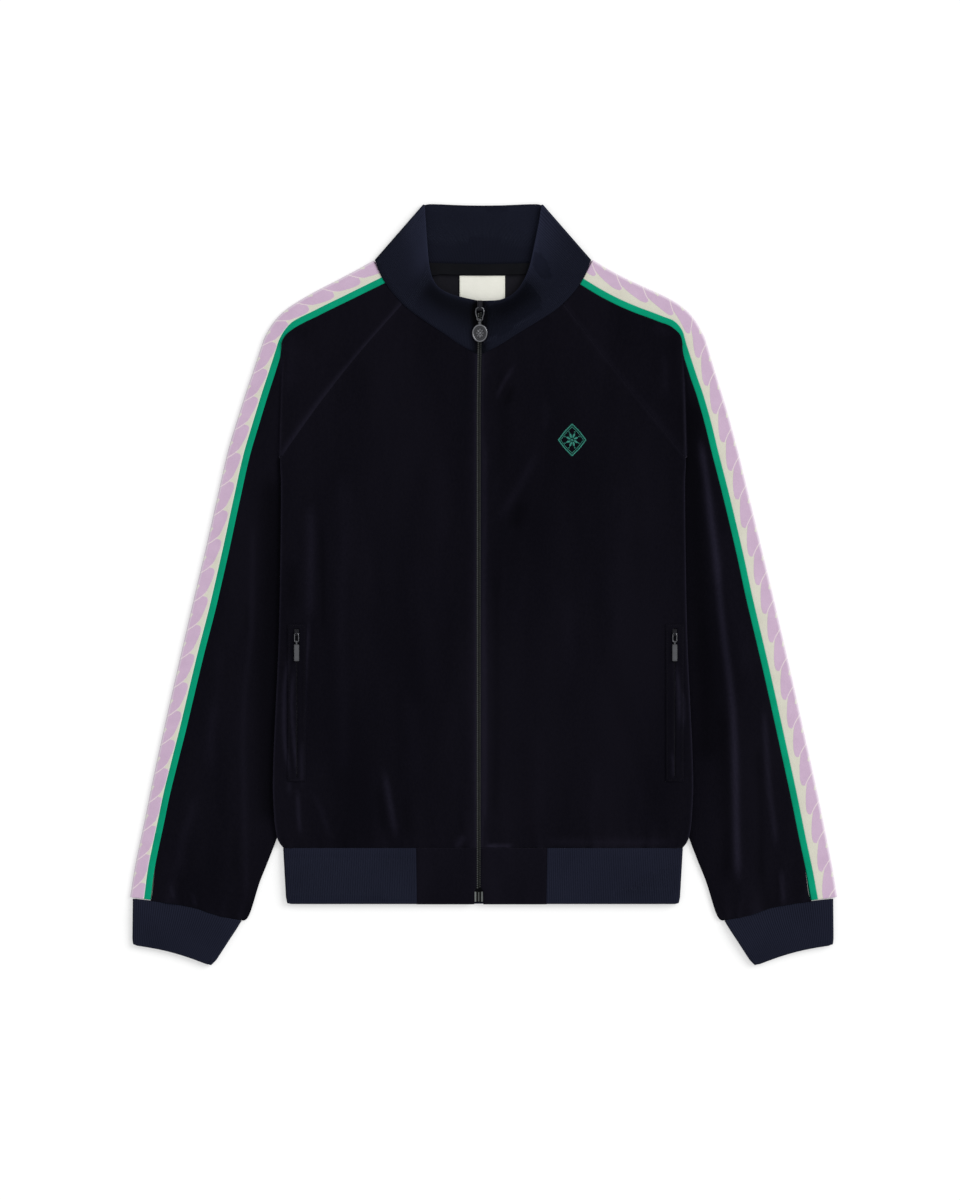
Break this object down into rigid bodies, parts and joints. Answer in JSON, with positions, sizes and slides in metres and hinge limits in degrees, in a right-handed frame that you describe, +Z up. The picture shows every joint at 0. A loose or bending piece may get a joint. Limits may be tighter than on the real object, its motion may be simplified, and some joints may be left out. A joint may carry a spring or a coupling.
{
  "type": "track jacket",
  "caption": "Zip-up velour track jacket laid flat, with a rib stand collar, cuffs and hem, jacquard sleeve bands, side pockets and a hinged zip pull.",
  "frame": {"origin": "Middle of the laid-out jacket in X and Y, on the surface it lies on.", "axes": "+X to the wearer's left, +Y from hem to collar, +Z up, out of the front of the jacket."},
  "size_m": [0.7929, 0.853, 0.0142],
  "materials": {
    "velour": "near-black navy cotton velour with a soft nap",
    "rib": "dark navy rib knit",
    "band": "lilac and cream jacquard tape",
    "green": "green woven trim",
    "zip_tape": "black woven tape",
    "zip_metal": "dark gunmetal plating",
    "label": "cream woven label, blank",
    "emblem": "teal satin-stitch embroidery"
  },
  "bodies": {
    "jacket": {"back": "velour", "front_right": "velour", "front_left": "velour", "sleeve_front_right": "velour", "sleeve_front_left": "velour", "sleeve_back_right": "velour", "sleeve_back_left": "velour", "hem_block_right": "velour", "hem_block_left": "velour", "pocket_welt_right": "velour", "pocket_welt_left": "velour", "band_right": "band", "band_left": "band", "trim_front_right": "green", "trim_front_left": "green", "trim_back_right": "green", "trim_back_left": "green", "cuff_right": "rib", "cuff_left": "rib", "collar": "rib", "hem_rib": "rib", "zip_tape_right": "zip_tape", "zip_tape_left": "zip_tape", "pocket_zip_right": "zip_tape", "pocket_zip_left": "zip_tape", "neck_tape": "zip_tape", "zip_chain_right": "zip_metal", "zip_chain_left": "zip_metal", "zip_box": "zip_metal", "zip_slider": "zip_metal", "pocket_slider_right": "zip_metal", "pocket_slider_left": "zip_metal", "label": "label", "emblem": "emblem"},
    "zip_link": {"zip_link": "zip_metal"},
    "zip_medallion": {"zip_medallion": "zip_metal"},
    "pocket_pull_right": {"pocket_loop_right": "zip_metal", "pocket_tab_right": "zip_metal"},
    "pocket_pull_left": {"pocket_loop_left": "zip_metal", "pocket_tab_left": "zip_metal"}
  },
  "joints": [
    {"name": "zip_link_turn", "type": "hinge", "parent": "jacket", "child": "zip_link", "pos_m": [-0.0036, 0.309, 0.01165], "axis": [-1, 0, 0], "range_deg": [0, 150]},
    {"name": "zip_medallion_turn", "type": "hinge", "parent": "zip_link", "child": "zip_medallion", "pos_m": [-0.0036, 0.2952, 0.01039], "axis": [-1, 0, 0], "range_deg": [0, 60]},
    {"name": "pocket_pull_right_turn", "type": "hinge", "parent": "jacket", "child": "pocket_pull_right", "pos_m": [-0.2085, -0.0555, 0.0123], "axis": [-1, 0, 0], "range_deg": [0, 150]},
    {"name": "pocket_pull_left_turn", "type": "hinge", "parent": "jacket", "child": "pocket_pull_left", "pos_m": [0.2145, -0.0555, 0.01218], "axis": [-1, 0, 0], "range_deg": [0, 150]}
  ]
}
